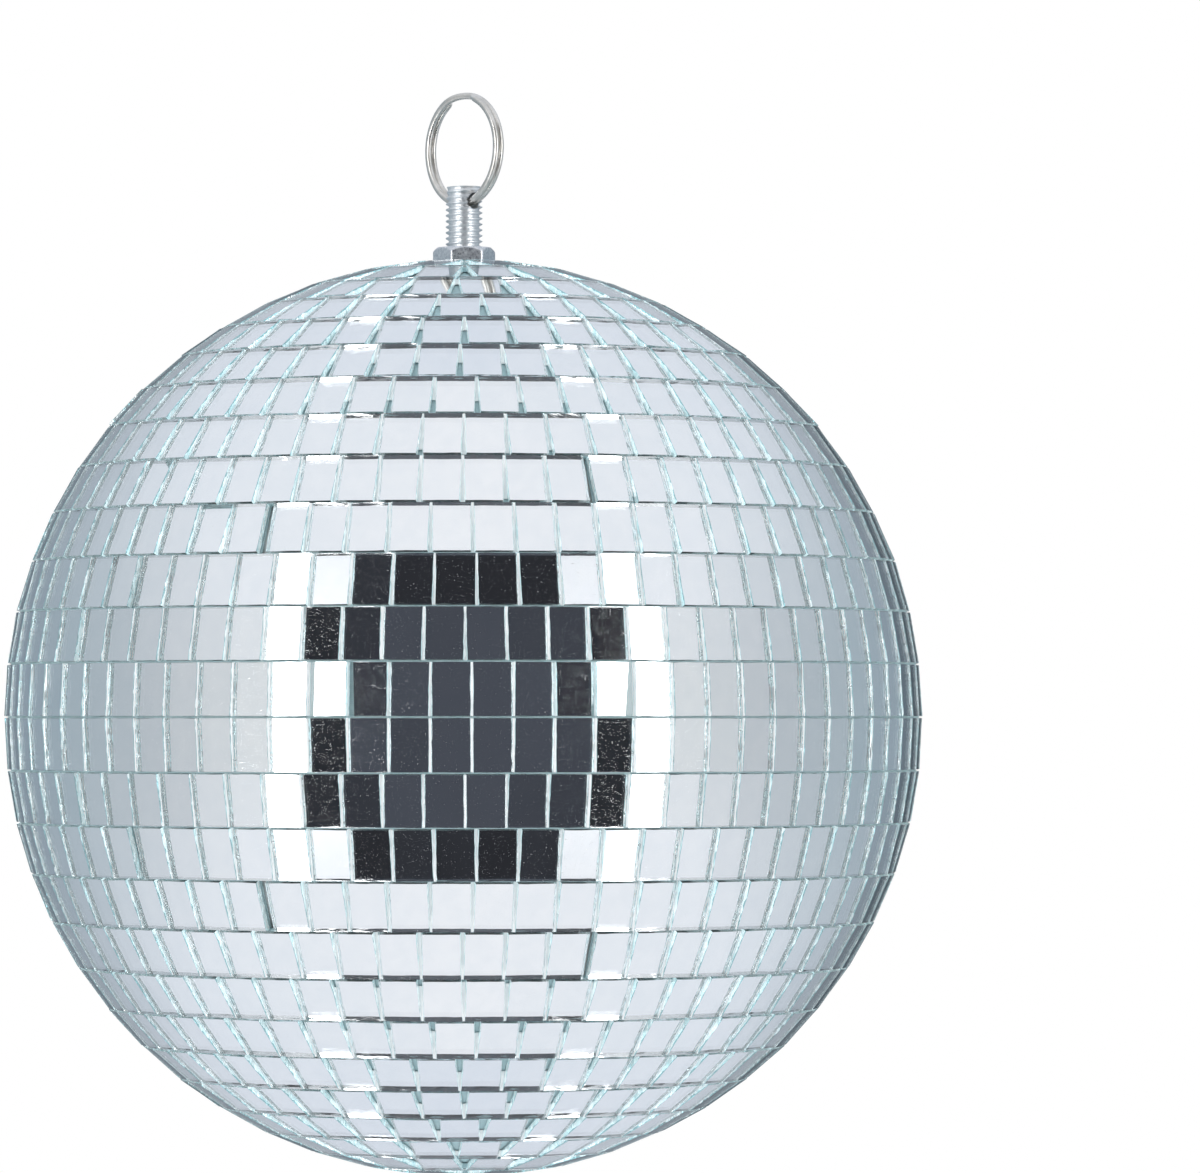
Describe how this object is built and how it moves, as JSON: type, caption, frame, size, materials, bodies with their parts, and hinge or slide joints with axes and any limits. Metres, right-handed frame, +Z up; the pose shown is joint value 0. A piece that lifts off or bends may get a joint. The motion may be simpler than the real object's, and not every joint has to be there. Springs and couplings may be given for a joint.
{
  "type": "mirror ball",
  "caption": "Hanging mirror ball: rows of flat mirror tiles on a hollow core, with a cross-drilled threaded bolt, hex nut and split ring at the top.",
  "frame": {"origin": "the hang point: the inner top of the split ring, where a hook or cord bears", "axes": "+Z up along the bolt and through the ball's poles; X along the hole drilled across the bolt, so that the split ring lies in the XZ plane; the ball's centre is 135 mm below the origin"},
  "size_m": [0.2, 0.1999, 0.2363],
  "materials": {
    "mirror_glass": "back-silvered glass tiles with bare blue-green cut edges",
    "core_plastic": "white moulded plastic, satin",
    "zinc_steel": "bright zinc plate, slightly mottled",
    "nickel_wire": "bright nickel plate, slightly warm"
  },
  "bodies": {
    "ring": {"split_ring": "nickel_wire"},
    "ball": {"hanger_bolt": "zinc_steel", "hex_nut": "zinc_steel", "inner_washer": "zinc_steel", "spring_washer": "zinc_steel", "upper_core_shell": "core_plastic", "lower_core_shell": "core_plastic", "top_trim_glass": "mirror_glass", "bottom_closing_tile": "mirror_glass", "mirror_strip_u01": "mirror_glass", "mirror_strip_u02": "mirror_glass", "mirror_strip_u03": "mirror_glass", "mirror_strip_u04": "mirror_glass", "mirror_strip_u05": "mirror_glass", "mirror_strip_u06": "mirror_glass", "mirror_strip_u07": "mirror_glass", "mirror_strip_u08": "mirror_glass", "mirror_strip_u09": "mirror_glass", "mirror_strip_u10": "mirror_glass", "mirror_strip_u11": "mirror_glass", "mirror_strip_u12": "mirror_glass", "mirror_strip_u13": "mirror_glass", "mirror_strip_l01": "mirror_glass", "mirror_strip_l02": "mirror_glass", "mirror_strip_l03": "mirror_glass", "mirror_strip_l04": "mirror_glass", "mirror_strip_l05": "mirror_glass", "mirror_strip_l06": "mirror_glass", "mirror_strip_l07": "mirror_glass", "mirror_strip_l08": "mirror_glass", "mirror_strip_l09": "mirror_glass", "mirror_strip_l10": "mirror_glass", "mirror_strip_l11": "mirror_glass", "mirror_strip_l12": "mirror_glass", "mirror_strip_l13": "mirror_glass"}
  },
  "joints": [
    {"name": "ball_swing", "type": "hinge", "parent": "ring", "child": "ball", "pos_m": [0, 0, -0.02239], "axis": [1, 0, 0], "range_deg": [-120, 120]}
  ]
}
